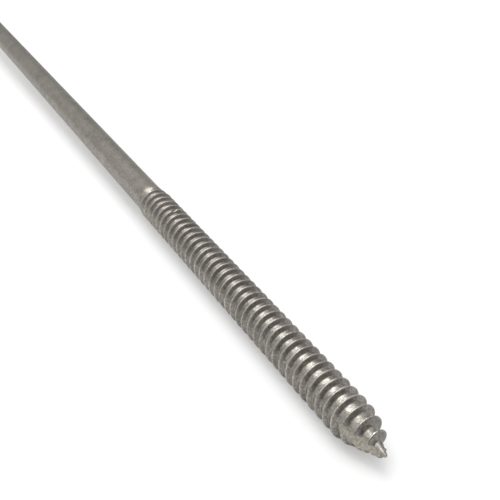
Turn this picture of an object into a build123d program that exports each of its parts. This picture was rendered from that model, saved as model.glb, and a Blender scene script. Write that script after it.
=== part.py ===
from build123d import *
import math
import os

# A long hex-washer-head lag screw for timber, cold headed and thread rolled from one length of
# steel wire.
#
# The screw is drawn in its own frame: the bearing face under the flange lies on z = 0, the head
# is below it, and the shank, thread and point run along +Z. Angles around the screw are measured
# from +X towards +Y. At the end the finished solid is laid down as it comes to rest, on the rim
# of its flange and on the crests beside its point.

# ---- Driving dimensions, in millimetres and degrees ----

# Lengths along the screw
LENGTH_UNDER_HEAD = 355.6     # bearing face to the tip of the point
THREAD_LENGTH = 80.0          # start of the run-out to the tip of the point
RUNOUT_LENGTH = 3.0           # over which the root sinks from the shank to its full depth
POINT_LENGTH = 10.0           # over which the crests close in on the tip
POINT_CORE_LENGTH = 6.4       # of the bare cone under those crests

# Diameters along the screw
SHANK_DIAMETER = 5.7
THREAD_DIAMETER = 6.5         # over the crests
ROOT_DIAMETER = 5.1
TIP_DIAMETER = 0.4            # blunt end of the point

# Thread form: one start, right hand
THREAD_PITCH = 1.95
FLANK_ANGLE = 30.0            # of each flank from a plane square to the screw
CREST_RISE_TURNS = 1.0        # over which the ridge rises out of the shank
CREST_FALL_TURNS = 0.6        # over which the ridge sinks into the tip
RIDGE_STOP = 0.5              # from the end of the ridge to the tip
THREAD_CLOCKING = 279.0       # direction of the ridge where it starts

# Cutting flute, a square notch milled down one side of the point
FLUTE_LENGTH = 6.6            # from the tip to where the notch runs out over the crests
FLUTE_OFFSET = 0.3            # from the axis to the floor of the notch
FLUTE_REACH = 0.3             # of the floor past the axis, as far as the wall of the notch
FLUTE_CUTTER_RADIUS = 10.0    # of the arc at which the floor leaves the point
FLUTE_CLOCKING = 249.0        # direction that the floor of the notch faces

# Flange, forged as one with the head
FLANGE_DIAMETER = 19.4
FLANGE_RIM = 0.7              # thickness at the rim
FLANGE_CROWN = 1.7            # thickness where it meets the hexagon
RIM_BREAK = 0.2               # of the edges of the rim, across and along the screw
NECK_TAPER = 0.6              # of the cone between the bearing face and the shank
SEAM_CLOCKING = 4.3           # direction where the round surfaces start and end

# Hexagonal drive
HEX_ACROSS_FLATS = 9.53       # takes a 3/8 inch socket
HEAD_HEIGHT = 6.6             # bearing face to the end of the hexagon
HEX_CHAMFER_DIAMETER = 8.9    # where the chamfer meets the end face
HEX_CHAMFER_ANGLE = 32.0      # of the chamfer from the end face
HEX_CLOCKING = 40.0           # direction of one corner of the hexagon
DIMPLE_DIAMETER = 7.5         # round dimple left in the end of the hexagon
DIMPLE_FLOOR_DIAMETER = 6.3
DIMPLE_DEPTH = 1.4

# How finely the ridge of the thread is worked out
STEPS_PER_SPAN = 8            # points along each span, of about one turn, that isn't a true helix
RIDGE_ROOTING = 0.15          # how far the foot of the ridge is set into the core

# ---- Sizes and places that follow from them ----

SHANK_RADIUS = SHANK_DIAMETER / 2
CREST_RADIUS = THREAD_DIAMETER / 2
ROOT_RADIUS = ROOT_DIAMETER / 2
TIP_RADIUS = TIP_DIAMETER / 2
FLANGE_RADIUS = FLANGE_DIAMETER / 2
HEX_RADIUS = HEX_ACROSS_FLATS / 2
TIP_Z = LENGTH_UNDER_HEAD
THREAD_START_Z = TIP_Z - THREAD_LENGTH
FULL_ROOT_Z = THREAD_START_Z + RUNOUT_LENGTH
POINT_CORE_Z = TIP_Z - POINT_CORE_LENGTH
RIDGE_TURNS = (THREAD_LENGTH - RIDGE_STOP) / THREAD_PITCH
RIDGE_SPANS = math.ceil(RIDGE_TURNS)


def between(value, start, end):
    """How far a value has gone from start to end, held between 0 and 1."""
    return min(max((value - start) / (end - start), 0.0), 1.0)


def core_radius(z):
    """Radius of the bare core at z: shank, run-out, root and cone of the point."""
    if z < FULL_ROOT_Z:
        sunk = between(z, THREAD_START_Z, FULL_ROOT_Z)
        return SHANK_RADIUS + (ROOT_RADIUS - SHANK_RADIUS) * sunk
    return ROOT_RADIUS + (TIP_RADIUS - ROOT_RADIUS) * between(z, POINT_CORE_Z, TIP_Z)


def crest_radius(turn):
    """Radius of the crest at a number of turns from the start of the thread."""
    z = THREAD_START_Z + turn * THREAD_PITCH
    closing = between(z, TIP_Z - POINT_LENGTH, TIP_Z)
    full = TIP_RADIUS + (CREST_RADIUS - TIP_RADIUS) * (1 - closing ** 3)
    sunk = core_radius(z) - RIDGE_ROOTING / 2
    rise = between(turn, 0, CREST_RISE_TURNS)
    fall = between(turn, RIDGE_TURNS, RIDGE_TURNS - CREST_FALL_TURNS)
    return sunk + (full - sunk) * min(rise, fall)


def ridge_section(turn):
    """Radius and z of the ridge's foot, crest and other foot, after a number of turns."""
    z = THREAD_START_Z + turn * THREAD_PITCH
    crest = crest_radius(turn)
    height = crest - core_radius(z) + RIDGE_ROOTING
    spread = height * math.tan(math.radians(FLANK_ANGLE))
    return [
        (core_radius(z - spread) - RIDGE_ROOTING, z - spread),
        (crest, z),
        (core_radius(z + spread) - RIDGE_ROOTING, z + spread),
    ]


def ridge_lines(start, end):
    """The ridge's three lines between two turns, true helices where its section stays the same."""
    first, last = ridge_section(start), ridge_section(end)
    if all(abs(radius - other) < 1e-9 for (radius, _), (other, _) in zip(first, last)):
        rise = (end - start) * THREAD_PITCH
        clocked = Rot(0, 0, THREAD_CLOCKING + 360 * start)
        return [
            Edge.make_helix(THREAD_PITCH, rise, radius).moved(Pos(0, 0, z) * clocked)
            for radius, z in first
        ]
    lines = [[], [], []]
    for step in range(STEPS_PER_SPAN + 1):
        turn = start + (end - start) * step / STEPS_PER_SPAN
        angle = math.radians(THREAD_CLOCKING + 360 * turn)
        for line, (radius, z) in zip(lines, ridge_section(turn)):
            line.append((radius * math.cos(angle), radius * math.sin(angle), z))
    return [Edge.make_spline(line) for line in lines]


def thread_ridge():
    """The helical ridge, span by span, from inside the shank to inside the tip."""
    stations = [RIDGE_TURNS * span / RIDGE_SPANS for span in range(RIDGE_SPANS + 1)]
    spans = [ridge_lines(start, end) for start, end in zip(stations, stations[1:])]
    faces = [
        Face(Wire.make_polygon([line @ 0 for line in spans[0]])),
        Face(Wire.make_polygon([line @ 1 for line in spans[-1]])),
    ]
    for foot, crest, other_foot in spans:
        faces.append(Face.make_surface_from_curves(foot, crest))
        faces.append(Face.make_surface_from_curves(crest, other_foot))
        faces.append(Face.make_surface_from_curves(other_foot, foot))
    return Solid(Shell(faces))


def turned(*corners):
    """Solid turned around the axis of the screw from an outline of (radius, z) corners."""
    outline = Polyline(*[(radius, 0, z) for radius, z in corners], close=True)
    return Rot(0, 0, SEAM_CLOCKING) * revolve(make_face(outline), axis=Axis.Z)


def blank():
    """Everything round: flange, shank, core of the thread and cone of the point."""
    return turned(
        (0, -FLANGE_CROWN),
        (HEX_RADIUS, -FLANGE_CROWN),
        (FLANGE_RADIUS - RIM_BREAK, -FLANGE_RIM),
        (FLANGE_RADIUS, RIM_BREAK - FLANGE_RIM),
        (FLANGE_RADIUS, -RIM_BREAK),
        (FLANGE_RADIUS - RIM_BREAK, 0),
        (SHANK_RADIUS + NECK_TAPER, 0),
        (SHANK_RADIUS, NECK_TAPER),
        (SHANK_RADIUS, THREAD_START_Z),
        (ROOT_RADIUS, FULL_ROOT_Z),
        (ROOT_RADIUS, POINT_CORE_Z),
        (TIP_RADIUS, TIP_Z),
        (0, TIP_Z),
    )


def flute():
    """What a round cutter takes out as it leaves the point: a level floor, then its own arc."""
    width = THREAD_DIAMETER
    depth = CREST_RADIUS - FLUTE_OFFSET
    run_out = math.sqrt(depth * (2 * FLUTE_CUTTER_RADIUS - depth))
    cutter = Rot(-90, 0, 0) * Cylinder(
        FLUTE_CUTTER_RADIUS, width, align=(Align.CENTER, Align.CENTER, Align.MIN)
    )
    path = Box(
        2 * FLUTE_CUTTER_RADIUS,
        width,
        FLUTE_LENGTH,
        align=(Align.CENTER, Align.MIN, Align.MIN),
    )
    centre = Pos(
        FLUTE_OFFSET + FLUTE_CUTTER_RADIUS, -FLUTE_REACH, TIP_Z - FLUTE_LENGTH + run_out
    )
    return Rot(0, 0, FLUTE_CLOCKING) * centre * (cutter + path)


def hexagon():
    """Hexagonal drive, its corners turned down at the end, with a round dimple in that end."""
    corner_radius = HEX_ACROSS_FLATS / math.sqrt(3)
    chamfer_radius = HEX_CHAMFER_DIAMETER / 2
    chamfer_drop = (corner_radius - chamfer_radius) * math.tan(math.radians(HEX_CHAMFER_ANGLE))
    prism = extrude(
        RegularPolygon(HEX_RADIUS, 6, major_radius=False, rotation=HEX_CLOCKING),
        amount=-HEAD_HEIGHT,
    )
    chamfered = turned(
        (0, 0),
        (corner_radius, 0),
        (corner_radius, chamfer_drop - HEAD_HEIGHT),
        (chamfer_radius, -HEAD_HEIGHT),
        (0, -HEAD_HEIGHT),
    )
    dimple = turned(
        (0, -HEAD_HEIGHT),
        (DIMPLE_DIAMETER / 2, -HEAD_HEIGHT),
        (DIMPLE_FLOOR_DIAMETER / 2, DIMPLE_DEPTH - HEAD_HEIGHT),
        (0, DIMPLE_DEPTH - HEAD_HEIGHT),
    )
    return (prism & chamfered) - dimple


def laid_down(screw):
    """The screw at rest, point towards +X, over the middle of its own box on the ground."""
    drop = FLANGE_RADIUS - CREST_RADIUS
    lean = math.degrees(math.asin(drop / (LENGTH_UNDER_HEAD - POINT_LENGTH)))
    laid = Rot(0, 90 + lean, 0) * screw
    box = laid.bounding_box()
    return Pos(-box.center().X, -box.center().Y, -box.min.Z) * laid


lag_screw = laid_down(blank() + thread_ridge() - flute() + hexagon())

os.makedirs("parts", exist_ok=True)
export_step(lag_screw, "parts/lag_screw.step")
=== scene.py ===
import math

import bpy
import numpy as np
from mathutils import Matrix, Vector


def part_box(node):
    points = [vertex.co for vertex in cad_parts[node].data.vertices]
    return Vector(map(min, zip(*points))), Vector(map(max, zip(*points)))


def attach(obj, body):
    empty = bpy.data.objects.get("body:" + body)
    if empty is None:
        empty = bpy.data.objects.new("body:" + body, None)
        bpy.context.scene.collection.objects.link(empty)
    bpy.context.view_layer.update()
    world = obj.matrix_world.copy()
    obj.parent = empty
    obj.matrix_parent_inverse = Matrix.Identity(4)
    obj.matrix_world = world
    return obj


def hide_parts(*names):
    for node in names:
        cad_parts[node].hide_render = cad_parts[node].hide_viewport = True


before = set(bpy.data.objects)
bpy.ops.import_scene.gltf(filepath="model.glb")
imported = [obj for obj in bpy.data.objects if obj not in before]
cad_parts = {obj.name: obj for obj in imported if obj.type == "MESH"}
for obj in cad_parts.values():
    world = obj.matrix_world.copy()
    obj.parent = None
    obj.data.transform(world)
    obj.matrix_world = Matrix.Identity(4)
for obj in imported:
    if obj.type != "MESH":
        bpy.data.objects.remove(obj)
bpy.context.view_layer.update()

# ---- Sizes of the screw, in millimetres and degrees ----
# The skin of the screw is worked out in the screw's own frame: the bearing face on z = 0, the head
# below it, the point along +Z, and angles from +X towards +Y. Then it is laid down where the CAD
# screw lies. The main sizes are the CAD's. The roundings, the slower rise of the thread, a nick and
# the change beside the flute are added here.

# Lengths along the screw
LENGTH_UNDER_HEAD = 355.6      # bearing face to the tip of the point
THREAD_LENGTH = 80.0           # start of the thread to the tip
SINK_DELAY = 0.8               # from the start of the thread to where its root starts to sink
RUNOUT_LENGTH = 3.0            # from the start of the thread to the full depth of its root
POINT_LENGTH = 10.0            # over which the crests close in on the tip
POINT_CORE_LENGTH = 6.4        # of the bare cone under those crests
TIP_Z = LENGTH_UNDER_HEAD
START_Z = TIP_Z - THREAD_LENGTH

# Radii along the screw
SHANK_RADIUS = 2.85
CREST_RADIUS = 3.25
ROOT_RADIUS = 2.55
TIP_RADIUS = 0.2

# Ridge of the thread
PITCH = 1.95
FLANK_SLOPE = math.tan(math.radians(30.0))   # axial run of a flank for each unit of its height
CREST_HALF_WIDTH = 0.13
CREST_ROUNDING = 0.22
ROOT_ROUNDING = 0.15
ROOT_ROUNDING_SHARE = 0.6      # the most that the root's rounding takes of the ridge's height
LEAST_ROUNDING = 1e-6          # where there is no ridge, since the rounding divides by it
RISE_TURNS = 2.0               # over which the ridge rises out of the shank
FALL_TURNS = 0.6               # over which it sinks into the tip
RIDGE_SINK = 0.08              # under the core, where the ridge starts and ends
RIDGE_STOP = 0.5               # from the end of the ridge to the tip
THREAD_CLOCKING = 279.0        # direction of the ridge where it starts
RIDGE_TURNS = (THREAD_LENGTH - RIDGE_STOP) / PITCH
POINT_STEEPENING = 0.4         # share of their run that the flanks lose along the point
STEEPENING_STOP = 2.0          # from the tip, where they are steepest

# A small nick in the crest of one ridge near the start of the thread
NICK_TURN = 6.72               # from the start of the thread
NICK_TURN_RANGE = 0.4          # on both sides, so that only one ridge has it
NICK_CLOCKING = 179.0          # direction of its middle
NICK_SPREAD = 7.0              # around the screw, in degrees
NICK_DEPTH = 0.32

# Flute, a square notch down one side of the point
FLUTE_LENGTH = 6.6
FLUTE_OFFSET = 0.3             # from the axis to its floor
FLUTE_REACH = 0.3              # of its floor past the axis, as far as its wall
FLUTE_CUTTER_RADIUS = 10.0     # of the arc at which the floor leaves the point
FLUTE_CLOCKING = 249.0         # direction that the floor faces
FLUTE_ROUNDING = 0.12
FLUTE_Z = TIP_Z - FLUTE_LENGTH

# Beside the flute the last crests stay low and the roots full, so that its floor runs on past them.
# The change comes in between two angles past the direction that the floor faces, and over a stretch
# along the screw.
BESIDE_START = 180.0
BESIDE_FULL = 90.0
BESIDE_BEHIND = 0.5            # from FLUTE_Z back to the start of that stretch
BESIDE_AHEAD = 2.0             # from FLUTE_Z on to its end
CREST_LOWERING = 0.5           # of a crest, as a share of the ridge's height
ROOT_FILLING = 0.35            # of a root, as a share of the same height

# Flange and neck
CAD_FLANGE_RADIUS = 9.7
FLANGE_RADIUS = 9.66           # the skin stands a little inside the CAD's rim
FLANGE_RIM = 0.7               # thickness at the rim
FLANGE_CROWN = 1.7             # thickness at the hexagon
RIM_ROUNDING = 0.28
NECK_ROUNDING = 0.6
CROWN_START = 0.3              # from the hexagon, where the columns of the crown start to even out
CROWN_STOP = 0.75              # from the rim, where they would all be even
CREST_LIFT = 0.012             # by which the crests beside the point hold the screw off the ground

# Hexagon and the dimple in its end
HEX_APOTHEM = 4.765
HEX_EDGE_ROUNDING = 0.30
HEX_CLOCKING = 40.0            # direction of one corner
HEAD_HEIGHT = 6.6
CHAMFER_RADIUS = 4.45          # where the chamfer meets the end
CHAMFER_SLOPE = math.tan(math.radians(32.0))
CHAMFER_SETBACK = 0.03         # of the chamfer along the screw, for the rounding of its edge
SIDE_EDGE_INSET = 0.012        # of the ring that rounds the edge between chamfer and sides
SIDE_EDGE_DROP = 0.08          # from the sharp edge down to that ring
SIDE_DROP = 0.17               # and down to where the sides are full
FOOT_HEIGHT = 0.45             # of the hollow blend between the sides and the flange
DIMPLE_DEPTH = 1.4
DIMPLE_CROWN = 0.06            # of the middle of its floor over the rest
HEAD_END = -HEAD_HEIGHT
CROWN_Z = -FLANGE_CROWN

# ---- How the skin is laid out ----

# Where the columns of one side of the hexagon stand, in degrees from its corner
SIDE_ANGLES = np.array([0, 1.05, 2.1, 3.2, 6, 11, 17, 23.5,
                        30, 36.5, 43, 49, 54, 56.8, 57.9, 58.95])
COLUMNS = 6 * len(SIDE_ANGLES)
COLUMN_STEP = 360.0 / COLUMNS
SIDE_COLUMNS = HEX_CLOCKING + (np.arange(6)[:, None] * 60.0 + SIDE_ANGLES[None, :]).ravel()
HEAD_COLUMNS = HEX_CLOCKING + np.arange(COLUMNS) * COLUMN_STEP
THREAD_COLUMNS = FLUTE_CLOCKING + np.arange(COLUMNS) * COLUMN_STEP

# Where the rows of one pitch of the thread stand, in pitches from its crest
PITCH_ROWS = np.array([-0.5, -0.40, -0.33, -0.29, -0.255, -0.22, -0.17, -0.12, -0.08, -0.04,
                       0, 0.04, 0.08, 0.12, 0.17, 0.22, 0.255, 0.29, 0.33, 0.40])

# Rows wound like the thread lie between these two plain rings
STRIP_START_Z = START_Z - 1.5 * PITCH
STRIP_END_Z = TIP_Z - 0.2
SHANK_RINGS = 48
SHANK_END_Z = STRIP_START_Z - 2.0
TIP_RINGS = 5
TIP_RINGS_STOP = 0.06          # from the last of them to the tip
BLUNT_RING_STOP = 0.01         # from the ring on the blunt end to the tip
BLUNT_RING_SCALE = 0.72

# The flute moves the columns aside: one stands on the brink of its wall, those from the first to
# the last floor column cross its floor, and those past the yielding one make way for the brink
FIRST_FLOOR_COLUMN = 1 * COLUMN_STEP
LAST_FLOOR_COLUMN = 22 * COLUMN_STEP
YIELDING_COLUMN = 80 * COLUMN_STEP
COLUMN_SLACK = 0.01            # within this of the way the floor faces is the brink's column
MOVING_BEHIND = 1.5            # from FLUTE_Z back to where the columns start to move
MOVING_AHEAD = 0.3             # from FLUTE_Z on to where they are all in place
EDGE_RANGE = (25.0, 86.0)      # of the far edge of the floor, from the direction that it faces
BRINK_LAG = 6.0                # behind that direction, where the height of the brink is taken
BRINK_SINE = 0.6               # the most that the reach of the floor may take of that height
FACING_LIMIT = 89.0            # of a column that still meets the level of the floor

# ---- Where the painted shade of the flanks, the painted highlight of the crests and the lighter floor of the flute come in: each goes from 0 to 1 between two values ----

COLOUR_RISE = (0.0, 8.0)       # turns from the start of the thread
COLOUR_HEIGHTS = (0.05, 0.4)   # of the ridge
FLANK_TOP = (-0.02, 0.10)      # along the screw, past the edge of the crest
FLANK_FOOT = (-0.06, 0.14)     # past the foot of the flank
CREST_EDGE = (-0.08, 0.08)     # past the edge of the crest
FLOOR_EDGE = (0.02, 0.12)      # over the floor of the flute
FLOOR_REACH = 0.05             # over or under the floor, to count as on it
FLOOR_BEHIND = 1.0             # from FLUTE_Z back to the first of such points
FLOOR_SLACK = 0.02             # past the wall, and of the cosine, at the sides of the floor

SHARP_ANGLE = 42.0             # from which an edge isn't shaded smooth
MM_PER_METRE = 1000.0


def between(value, start, end):
    """How far a value has gone from start to end, held between 0 and 1."""
    return np.clip((value - start) / (end - start), 0.0, 1.0)


def smooth(value):
    """A value from 0 to 1, eased at both ends."""
    return value * value * (3 - 2 * value)


def soft_max(a, b, k):
    """The larger of two, rounded where they are within k of each other."""
    return np.maximum(a, b) + np.maximum(k - np.abs(a - b), 0.0) ** 2 / (4 * k)


def soft_min(a, b, k):
    """The smaller of two, rounded where they are within k of each other."""
    return np.minimum(a, b) - np.maximum(k - np.abs(a - b), 0.0) ** 2 / (4 * k)


def wrapped(angle):
    """The same angle, from -180 to 180 degrees."""
    return (angle + 180.0) % 360.0 - 180.0


# ---- The threaded end, as a radius over angle and z ----

def core_radius(z):
    """The bare core at z: shank, run-out, root and cone of the point."""
    sunk = between(z, START_Z + SINK_DELAY, START_Z + RUNOUT_LENGTH)
    root = SHANK_RADIUS + (ROOT_RADIUS - SHANK_RADIUS) * smooth(sunk)
    return root + (TIP_RADIUS - ROOT_RADIUS) * between(z, TIP_Z - POINT_CORE_LENGTH, TIP_Z)


def crest_radius(turn):
    """The crest after a number of turns from the start of the thread."""
    z = START_Z + turn * PITCH
    closing = between(z, TIP_Z - POINT_LENGTH, TIP_Z)
    full = TIP_RADIUS + (CREST_RADIUS - TIP_RADIUS) * (1 - closing ** 3)
    rise = between(turn, 0, RISE_TURNS)
    fall = between(turn, RIDGE_TURNS, RIDGE_TURNS - FALL_TURNS)
    sunk = core_radius(z) - RIDGE_SINK
    return sunk + (full - sunk) * np.minimum(rise, fall)


def ridge_at(angle, z):
    """The nearest ridge: its turn, distance and crest, the core under it, and its flanks' slope."""
    lag = (angle - THREAD_CLOCKING) / 360.0
    turns = np.round((z - START_Z) / PITCH - lag) + lag
    away = np.abs(z - START_Z - turns * PITCH)
    crest = crest_radius(turns)
    core = core_radius(z)

    nicked = np.exp(-(wrapped(angle - NICK_CLOCKING) / NICK_SPREAD) ** 2)
    crest = crest - NICK_DEPTH * nicked * (np.abs(turns - NICK_TURN) < NICK_TURN_RANGE)

    beside = smooth(between((angle - FLUTE_CLOCKING) % 360.0, BESIDE_START, BESIDE_FULL))
    beside = beside * smooth(between(z, FLUTE_Z - BESIDE_BEHIND, FLUTE_Z + BESIDE_AHEAD))
    height = np.maximum(crest - core, 0.0)
    crest = crest - CREST_LOWERING * beside * height
    core = core + ROOT_FILLING * beside * height

    towards_tip = between(START_Z + turns * PITCH, TIP_Z - POINT_LENGTH, TIP_Z - STEEPENING_STOP)
    return turns, away, crest, core, FLANK_SLOPE * (1.0 - POINT_STEEPENING * towards_tip)


def round_radius(angle, z):
    """The threaded end before its flute is cut."""
    turns, away, crest, core, slope = ridge_at(angle, z)
    there = (turns > 0) & (turns < RIDGE_TURNS)
    flank = crest - (away - CREST_HALF_WIDTH) / slope
    ridge = np.where(there, soft_min(crest, flank, CREST_ROUNDING), 0.0)
    height = np.maximum(crest - core, 0.0)
    rounding = np.minimum(ROOT_ROUNDING, ROOT_ROUNDING_SHARE * height + LEAST_ROUNDING)
    return soft_max(core, ridge, rounding)


def flute_floor(z):
    """How far the floor of the flute stands from the axis at z."""
    depth = CREST_RADIUS - FLUTE_OFFSET
    centre = FLUTE_Z + math.sqrt(depth * (2 * FLUTE_CUTTER_RADIUS - depth))
    behind = np.clip(centre - z, 0.0, FLUTE_CUTTER_RADIUS)
    return FLUTE_OFFSET + FLUTE_CUTTER_RADIUS - np.sqrt(FLUTE_CUTTER_RADIUS ** 2 - behind ** 2)


def moved_columns(off, z):
    """The columns with the flute's edges on them, all measured from the way its floor faces."""
    floor = flute_floor(z)
    # the floor's far edge is worked out halfway up the ridges
    outer = 0.5 * (core_radius(z) + crest_radius((z - START_Z) / PITCH))
    edge = np.clip(np.degrees(np.arccos(np.clip(floor / outer, 0.0, 1.0))), *EDGE_RANGE)
    brink = FLUTE_REACH / round_radius(FLUTE_CLOCKING - BRINK_LAG, z)
    brink = -np.degrees(np.arcsin(np.clip(brink, 0.0, BRINK_SINE)))

    across = between(off, FIRST_FLOOR_COLUMN, LAST_FLOOR_COLUMN)
    side = -FLUTE_REACH + across * (floor * np.tan(np.radians(edge)) + FLUTE_REACH)
    on_floor = np.degrees(np.arctan2(side, floor))
    beyond = edge + (off - LAST_FLOOR_COLUMN) * (180.0 - edge) / (180.0 - LAST_FLOOR_COLUMN)
    left = 360.0 - YIELDING_COLUMN
    yielding = YIELDING_COLUMN + (off - YIELDING_COLUMN) * (left + brink) / left
    moved = np.select(
        [off < COLUMN_SLACK, off <= LAST_FLOOR_COLUMN, off < 180.0, off <= YIELDING_COLUMN],
        [brink, on_floor, beyond, off],
        yielding,
    )
    return off + (moved - off) * smooth(between(z, FLUTE_Z - MOVING_BEHIND, FLUTE_Z + MOVING_AHEAD))


def fluted(angle, z):
    """Angles and radii of the threaded end, from the even columns at angle."""
    off = (angle - FLUTE_CLOCKING) % 360.0
    moved = moved_columns(off, z)
    radius = round_radius(FLUTE_CLOCKING + moved, z)
    facing = np.radians(np.clip(moved, -FACING_LIMIT, FACING_LIMIT))
    cut = soft_min(radius, flute_floor(z) / np.cos(facing), FLUTE_ROUNDING)
    in_flute = (off > COLUMN_SLACK) & (moved < 90.0)
    return FLUTE_CLOCKING + moved, np.where(in_flute, cut, radius)


# ---- The head and neck, as rings of (angles, radius, z) ----

def hex_radius(off):
    """The hexagon with rounded edges, at an angle in degrees from one of its corners."""
    off = np.abs((off + 30.0) % 60.0 - 30.0)
    beta = np.radians(off)
    flat = HEX_APOTHEM / np.cos(np.radians(30.0 - off))
    centre = (HEX_APOTHEM - HEX_EDGE_ROUNDING) / math.cos(math.radians(30.0))
    reach = HEX_EDGE_ROUNDING ** 2 - (centre * np.sin(beta)) ** 2
    arc = centre * np.cos(beta) + np.sqrt(np.maximum(reach, 0.0))
    aside = HEX_EDGE_ROUNDING * math.sin(math.radians(30.0))
    ahead = centre + HEX_EDGE_ROUNDING * math.cos(math.radians(30.0))
    return np.where(off < math.degrees(math.atan2(aside, ahead)), arc, flat)


HEXAGON = hex_radius(SIDE_COLUMNS - HEX_CLOCKING)


def turned(profile, z=0.0):
    """Round rings from (radius, height over z)."""
    return [(HEAD_COLUMNS, radius, z + rise) for radius, rise in profile]


def turned_arc(radius, z, rounding, angles):
    """Round rings on an arc about (radius, z), at angles from straight out towards the head."""
    return turned([
        (radius + rounding * math.cos(angle), -rounding * math.sin(angle))
        for angle in map(math.radians, angles)
    ], z)


def dimple():
    """From the middle of the dimple to the flat end round it."""
    floor = ((0.7, 0.05), (1.8, 0.02), (2.6, 0.0), (2.95, -0.03), (3.12, -0.13), (3.24, -0.32),
             (3.45, -0.75))
    brink = ((3.60, 0.30), (3.68, 0.14), (3.78, 0.05), (3.92, 0.0))
    return turned(floor, HEAD_END + DIMPLE_DEPTH) + turned(brink, HEAD_END)


def hexagon():
    """From the flat end over the chamfer and down the sides, with a hollow blend at their foot."""
    flat_end = [(SIDE_COLUMNS, 4.15, HEAD_END), (SIDE_COLUMNS, 4.36, HEAD_END + 0.025)]
    # the chamfer is cut by a cone, so its lower edge rises and falls along the sides
    width = HEXAGON - CHAMFER_RADIUS
    drop = width * CHAMFER_SLOPE
    chamfer = [
        (SIDE_COLUMNS, CHAMFER_RADIUS + width * share, HEAD_END + CHAMFER_SETBACK + drop * share)
        for share in (0.12, 0.5, 0.86)
    ]
    edge = (SIDE_COLUMNS, HEXAGON - SIDE_EDGE_INSET, HEAD_END + drop + SIDE_EDGE_DROP)
    top = HEAD_END + drop + SIDE_DROP
    foot = CROWN_Z - FOOT_HEIGHT
    sides = [
        (SIDE_COLUMNS, HEXAGON, top + (foot - top) * share)
        for share in (0.0, 0.3, 0.6, 0.85, 1.0)
    ]
    blend = [
        (SIDE_COLUMNS, HEXAGON + out, CROWN_Z - rise)
        for out, rise in ((0.02, 0.30), (0.07, 0.17), (0.17, 0.07))
    ]
    return [*flat_end, *chamfer, edge, *sides, *blend]


def flange():
    """Over the crown, round the rim and in along the bearing face."""
    slope = (FLANGE_CROWN - FLANGE_RIM) / (FLANGE_RADIUS - HEX_APOTHEM)
    # on the crown the columns move from the hexagon's to even ones
    inner = HEXAGON + CROWN_START
    outer = FLANGE_RADIUS - CROWN_STOP
    crown = [
        (SIDE_COLUMNS + (HEAD_COLUMNS - SIDE_COLUMNS) * share, inner + (outer - inner) * share)
        for share in (0.08, 0.3, 0.6, 0.85)
    ]
    crown += [(HEAD_COLUMNS, FLANGE_RADIUS - inset) for inset in (0.7, 0.42)]
    crown = [
        (angles, radius, CROWN_Z + (radius - HEX_APOTHEM) * slope)
        for angles, radius in crown
    ]
    middle = FLANGE_RADIUS - RIM_ROUNDING
    rim = turned_arc(middle, RIM_ROUNDING - FLANGE_RIM, RIM_ROUNDING, (60, 40, 20))
    rim += turned_arc(middle, -RIM_ROUNDING, RIM_ROUNDING, (0, -22.5, -45, -67.5, -90))
    # the bearing face is flat, and its rings only spread its columns
    face = (FLANGE_RADIUS - 0.6, 7.4, 5.4, 4.1, SHANK_RADIUS + NECK_ROUNDING + 0.15)
    return crown + rim + turned([(radius, 0.0) for radius in face])


def neck():
    """The hollow rounding between the bearing face and the shank."""
    angles = (90, 108, 126, 144, 162, 180)
    return turned_arc(SHANK_RADIUS + NECK_ROUNDING, NECK_ROUNDING, NECK_ROUNDING, angles)


def shank():
    """Rings that turn slowly from the columns of the head to those of the thread."""
    shift = wrapped(THREAD_COLUMNS[0] - HEAD_COLUMNS[0])
    return [
        (HEAD_COLUMNS + shift * between(z, NECK_ROUNDING, SHANK_END_Z), SHANK_RADIUS, z)
        for z in np.linspace(NECK_ROUNDING + 1.0, SHANK_END_Z, SHANK_RINGS)
    ]


# ---- The skin ----

class Grid:
    """Rows of points around the axis, joined into one closed skin."""

    def __init__(self):
        self.points = []
        self.faces = []

    def row(self, angle, radius, z):
        """The indices of a new row of points."""
        angle, radius, z = np.broadcast_arrays(np.radians(angle), radius, z)
        first = len(self.points)
        xyz = np.stack([radius * np.cos(angle), radius * np.sin(angle), z], axis=-1)
        self.points.extend(xyz.tolist())
        return list(range(first, len(self.points)))

    def ring(self, angle, radius, z):
        """A row that ends at its own first point."""
        row = self.row(angle, radius, z)
        return row + row[:1]

    def join(self, rows):
        """Quads between each row and the next."""
        for low, high in zip(rows, rows[1:]):
            self.faces.extend(list(face) for face in zip(low, low[1:], high[1:], high))

    def fan(self, ring, point):
        """Triangles from a ring to one point ahead of it."""
        middle = len(self.points)
        self.points.append(point)
        self.faces.extend([a, b, middle] for a, b in zip(ring, ring[1:]))

    def weld(self):
        """Make one point of each place, and leave out the faces that have shrunk to a line."""
        places, where = np.unique(np.round(self.points, 7), axis=0, return_inverse=True)
        where = where.ravel()
        faces = []
        for face in self.faces:
            face = [int(where[p]) for p in face]
            kept = [p for n, p in enumerate(face) if p != face[n - 1]]
            if len(set(kept)) == len(kept) >= 3:
                faces.append(kept)
        self.points, self.faces = places.tolist(), faces


def wound_rows(grid):
    """Rows wound round the threaded end like the thread itself, so that every crest and root runs
    along a row. At both ends they are held on a plain ring."""
    lag = (THREAD_COLUMNS[0] - THREAD_CLOCKING) / 360.0
    first_turn = math.floor((STRIP_START_Z - START_Z) / PITCH - lag) - 1
    last_turn = math.ceil((STRIP_END_Z - START_Z) / PITCH - lag)
    column = np.arange(COLUMNS + 1)
    around = column // COLUMNS + column % COLUMNS / COLUMNS
    rows = []
    for turn in range(first_turn, last_turn + 1):
        for share in PITCH_ROWS:
            z = np.clip(START_Z + PITCH * (turn + around + lag + share), STRIP_START_Z, STRIP_END_Z)
            angle, radius = fluted(THREAD_COLUMNS[column % COLUMNS], z)
            rows.append(grid.row(angle, radius, z))
    return rows


def fluted_ring(grid, z, scale=1.0):
    """A plain ring of the threaded end, or a smaller copy of it."""
    angle, radius = fluted(THREAD_COLUMNS, np.full(COLUMNS, z))
    return grid.ring(angle, radius * scale, z)


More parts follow.
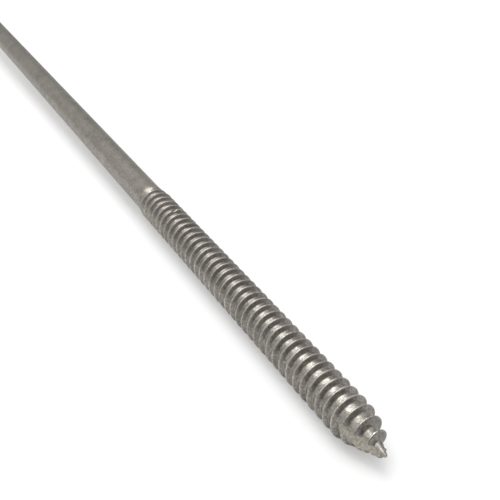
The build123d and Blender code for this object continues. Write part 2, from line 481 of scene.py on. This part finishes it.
def build_screw():
    """The whole skin, closed, in the screw's own frame."""
    grid = Grid()
    rings = [grid.ring(*ring) for ring in dimple() + hexagon() + flange() + neck() + shank()]
    # the middle of the dimple lies behind its first ring, so that ring is taken backwards
    grid.fan(rings[0][::-1], [0.0, 0.0, HEAD_END + DIMPLE_DEPTH + DIMPLE_CROWN])
    grid.join([*rings, fluted_ring(grid, STRIP_START_Z)])
    grid.join(wound_rows(grid))

    places = np.linspace(STRIP_END_Z, TIP_Z - TIP_RINGS_STOP, TIP_RINGS)
    tip = [fluted_ring(grid, z) for z in places]
    tip.append(fluted_ring(grid, TIP_Z - BLUNT_RING_STOP, BLUNT_RING_SCALE))
    grid.join(tip)
    x, y, _ = np.mean([grid.points[i] for i in tip[-1][:-1]], axis=0)
    grid.fan(tip[-1], [x, y, TIP_Z])
    grid.weld()
    return grid


def laid_down(points):
    """From the screw's own frame, in millimetres, to where the CAD screw lies, in metres."""
    lean = math.asin((CAD_FLANGE_RADIUS - CREST_RADIUS) / (LENGTH_UNDER_HEAD - POINT_LENGTH))
    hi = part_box("lag_screw")[1]
    tip_reach = LENGTH_UNDER_HEAD * math.cos(lean) + TIP_RADIUS * math.sin(lean)
    origin_x = hi.x - tip_reach / MM_PER_METRE
    origin_z = (CAD_FLANGE_RADIUS * math.cos(lean) + CREST_LIFT) / MM_PER_METRE
    turn = np.array([
        [-math.sin(lean), 0.0, math.cos(lean)],
        [0.0, 1.0, 0.0],
        [-math.cos(lean), 0.0, -math.sin(lean)],
    ])
    return np.asarray(points) @ turn.T / MM_PER_METRE + np.array([origin_x, 0.0, origin_z])


def floor_mask(x, y, z):
    """How far each point is on the floor of the flute: 0 to 1."""
    radius = np.hypot(x, y)
    facing = np.arctan2(y, x) - math.radians(FLUTE_CLOCKING)
    near = (z > FLUTE_Z - FLOOR_BEHIND) & (np.cos(facing) > FLOOR_SLACK)
    past_wall = radius * np.sin(facing) > -FLUTE_REACH - FLOOR_SLACK
    over = radius - flute_floor(z) / np.where(near, np.cos(facing), 1.0)
    on_floor = near & past_wall & (np.abs(over) < FLOOR_REACH)
    return on_floor * (1.0 - between(over, *FLOOR_EDGE))


def thread_masks(points):
    """How far each point is on a flank, on a crest, and on the floor of the flute: 0 to 1. The
    flank share carries painted shade and the crest share a painted highlight.
    """
    x, y, z = np.asarray(points).T
    turns, away, crest, core, slope = ridge_at(np.degrees(np.arctan2(y, x)), z)
    height = np.maximum(crest - core, 0.0)
    past_crest = away - CREST_HALF_WIDTH
    # painted shade goes on the flanks, from past the crest's edge down to their foot
    flank_shade_mask = between(past_crest, *FLANK_TOP)
    flank_shade_mask = flank_shade_mask * (1.0 - between(past_crest - height * slope, *FLANK_FOOT))
    # a painted highlight goes on the crests
    crest_highlight_mask = 1.0 - between(past_crest, *CREST_EDGE)
    on_floor = floor_mask(x, y, z)
    there = between(turns, *COLOUR_RISE) * (turns < RIDGE_TURNS) * between(height, *COLOUR_HEIGHTS)
    there = there * (1.0 - on_floor)
    return {"flank": flank_shade_mask * there, "crest": crest_highlight_mask * there, "flute": on_floor}


def make_mesh(name, grid):
    """The piece for the scene, with the masks that its material reads."""
    mesh = bpy.data.meshes.new(name)
    mesh.from_pydata(laid_down(grid.points).tolist(), [], grid.faces)
    for mask, values in thread_masks(grid.points).items():
        mesh.attributes.new(mask, "FLOAT", "POINT").data.foreach_set("value", values)
    mesh.update()
    mesh.validate()
    piece = bpy.data.objects.new(name, mesh)
    bpy.context.scene.collection.objects.link(piece)
    for polygon in mesh.polygons:
        polygon.use_smooth = True
    mesh.set_sharp_from_angle(angle=math.radians(SHARP_ANGLE))
    return piece


# ---- Nodes that the materials and the studio share ----

def ramp(tree, source, stops):
    """Colours over a value from 0 to 1, from stops of (value, colour)."""
    node = tree.nodes.new("ShaderNodeValToRGB")
    tree.links.new(source, node.inputs["Fac"])
    band = node.color_ramp
    while len(band.elements) < len(stops):
        band.elements.new(0.5)
    for element, (where, colour) in zip(band.elements, stops):
        element.position = where
        element.color = (*colour, 1.0)
    return node.outputs["Color"]


def multiplied(tree, colour, by, share=None):
    """Colour times by: another node's colour, or a plain one that counts as far as share says."""
    node = tree.nodes.new("ShaderNodeMix")
    node.data_type = "RGBA"
    node.blend_type = "MULTIPLY"
    tree.links.new(colour, node.inputs["A"])
    if share is None:
        node.inputs["Factor"].default_value = 1.0
        tree.links.new(by, node.inputs["B"])
    else:
        tree.links.new(share, node.inputs["Factor"])
        node.inputs["B"].default_value = (*by, 1.0)
    return node.outputs["Result"]


# ---- Zinc ----

def zinc_material():
    """Dull grey zinc, cloudy and fine grained, with a painted highlight lightening the crests and
    painted shade darkening the flanks.
    """
    material = bpy.data.materials.new("dull_zinc")
    material.use_nodes = True
    tree = material.node_tree
    shader = tree.nodes["Principled BSDF"]
    shader.inputs["Metallic"].default_value = 0.9
    shader.inputs["Specular Tint"].default_value = (0.65, 0.64, 0.63, 1.0)
    place = tree.nodes.new("ShaderNodeTexCoord")

    def noise(scale, detail, rough):
        node = tree.nodes.new("ShaderNodeTexNoise")
        node.inputs["Scale"].default_value = scale
        node.inputs["Detail"].default_value = detail
        node.inputs["Roughness"].default_value = rough
        tree.links.new(place.outputs["Object"], node.inputs["Vector"])
        return node.outputs["Fac"]

    def mask(name):
        node = tree.nodes.new("ShaderNodeAttribute")
        node.attribute_name = name
        return node.outputs["Fac"]

    clouds = noise(420.0, 3.0, 0.55)
    grain = noise(3000.0, 2.0, 0.7)
    tint = ramp(tree, clouds, [
        (0.34, (0.272, 0.255, 0.232)),
        (0.52, (0.318, 0.297, 0.268)),
        (0.68, (0.350, 0.326, 0.296)),
    ])
    speckle = ramp(tree, grain, [
        (0.36, (0.70, 0.70, 0.70)),
        (0.52, (1.0, 1.0, 1.0)),
        (0.66, (1.32, 1.30, 1.26)),
    ])
    colour = multiplied(tree, tint, speckle)
    # painted shade: the flanks are darkened, standing in for the shade that falls on them
    colour = multiplied(tree, colour, (0.76, 0.76, 0.77), mask("flank"))
    # painted highlight: the crests are lightened, standing in for the light that glints off them
    colour = multiplied(tree, colour, (1.30, 1.30, 1.30), mask("crest"))
    colour = multiplied(tree, colour, (1.10, 1.10, 1.04), mask("flute"))
    tree.links.new(colour, shader.inputs["Base Color"])

    rough = ramp(tree, grain, [(0.30, (0.37, 0.37, 0.37)), (0.70, (0.26, 0.26, 0.26))])
    tree.links.new(rough, shader.inputs["Roughness"])

    bump = tree.nodes.new("ShaderNodeBump")
    bump.inputs["Strength"].default_value = 0.35
    bump.inputs["Distance"].default_value = 0.00006
    tree.links.new(grain, bump.inputs["Height"])
    tree.links.new(bump.outputs["Normal"], shader.inputs["Normal"])
    return material


screw = make_mesh("lag_screw_skin", build_screw())
screw.data.materials.append(zinc_material())
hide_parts("lag_screw")
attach(screw, "root")

# ---- Floor ----

def floor_material():
    """White to the camera and in reflections, with the screw's shadow kept."""
    material = bpy.data.materials.new("white_floor")
    material.use_nodes = True
    tree = material.node_tree
    shader = tree.nodes["Principled BSDF"]
    shader.inputs["Base Color"].default_value = (0.58, 0.58, 0.58, 1.0)
    shader.inputs["Roughness"].default_value = 0.9
    rays = tree.nodes.new("ShaderNodeLightPath")
    seen = rays.outputs["Is Camera Ray"]
    for kind in ("Is Glossy Ray", "Is Transmission Ray"):
        either = tree.nodes.new("ShaderNodeMath")
        either.operation = "MAXIMUM"
        tree.links.new(seen, either.inputs[0])
        tree.links.new(rays.outputs[kind], either.inputs[1])
        seen = either.outputs[0]
    lift = tree.nodes.new("ShaderNodeMath")
    lift.operation = "MULTIPLY"
    lift.inputs[1].default_value = 0.30
    tree.links.new(seen, lift.inputs[0])
    shader.inputs["Emission Color"].default_value = (1.0, 1.0, 1.0, 1.0)
    tree.links.new(lift.outputs[0], shader.inputs["Emission Strength"])
    return material


bpy.ops.mesh.primitive_plane_add(size=40.0, location=(0.0, 0.0, 0.0))
floor = bpy.context.object
floor.name = "floor"
floor.data.materials.append(floor_material())

# ---- Studio: bright overhead, dimmer towards the horizon and beyond the point of the screw ----

world = bpy.data.worlds.new("studio")
bpy.context.scene.world = world
world.use_nodes = True
studio = world.node_tree
direction = studio.nodes.new("ShaderNodeTexCoord")
parts = studio.nodes.new("ShaderNodeSeparateXYZ")
studio.links.new(direction.outputs["Generated"], parts.inputs["Vector"])


def grade(axis, stops):
    """Brightness of the studio along one axis, from stops of (-1 to 1, brightness)."""
    share = studio.nodes.new("ShaderNodeMapRange")
    share.inputs["From Min"].default_value = -1.0
    share.inputs["From Max"].default_value = 1.0
    studio.links.new(parts.outputs[axis], share.inputs["Value"])
    greys = [((where + 1.0) / 2.0, (grey, grey, grey)) for where, grey in stops]
    return ramp(studio, share.outputs["Result"], greys)


height = grade("Z", [(-0.1, 0.57), (0.55, 0.55), (0.74, 0.90), (1.0, 1.0)])
along = grade("X", [
    (-1.0, 0.74), (-0.88, 0.80), (-0.72, 1.0), (0.2, 1.0), (0.6, 0.62), (1.0, 0.45)
])
across = grade("Y", [(-1.0, 1.10), (-0.35, 1.10), (-0.1, 0.96), (0.25, 0.80), (1.0, 0.80)])
brightness = multiplied(studio, multiplied(studio, height, along), across)
studio.links.new(brightness, studio.nodes["Background"].inputs["Color"])
studio.nodes["Background"].inputs["Strength"].default_value = 1.45


def lamp(name, place, target, size, power):
    """A rectangular lamp, in metres and watts, that faces its target."""
    data = bpy.data.lights.new(name, "AREA")
    data.shape = "RECTANGLE"
    data.size, data.size_y = size
    data.energy = power
    light = bpy.data.objects.new(name, data)
    bpy.context.scene.collection.objects.link(light)
    light.location = place
    aim = Vector(target) - Vector(place)
    light.rotation_euler = aim.to_track_quat("-Z", "Y").to_euler()


lamp("key", place=(-0.075, 0.02, 0.345), target=(0.14, 0.0, 0.0), size=(0.30, 0.12), power=0.44)
lamp("overhead", place=(0.13, 0.0, 0.39), target=(0.17, 0.0, 0.0), size=(0.20, 0.28), power=0.42)

# ---- Camera ----

CAMERA_PLACE = (0.23662, -0.04862, 0.07397)
CAMERA_HEADING = 152.10       # degrees from +X
CAMERA_PITCH = 29.84          # degrees below level
LENS = 56.37
SENSOR_WIDTH = 36.0
CLIP_RANGE = (0.005, 20.0)

camera_data = bpy.data.cameras.new("camera")
camera_data.lens = LENS
camera_data.sensor_width = SENSOR_WIDTH
camera_data.clip_start, camera_data.clip_end = CLIP_RANGE
camera = bpy.data.objects.new("camera", camera_data)
bpy.context.scene.collection.objects.link(camera)
camera.location = CAMERA_PLACE
camera.rotation_euler = (
    math.radians(90.0 - CAMERA_PITCH), 0.0, math.radians(CAMERA_HEADING - 90.0)
)
bpy.context.scene.camera = camera
bpy.context.scene.view_settings.view_transform = "Standard"
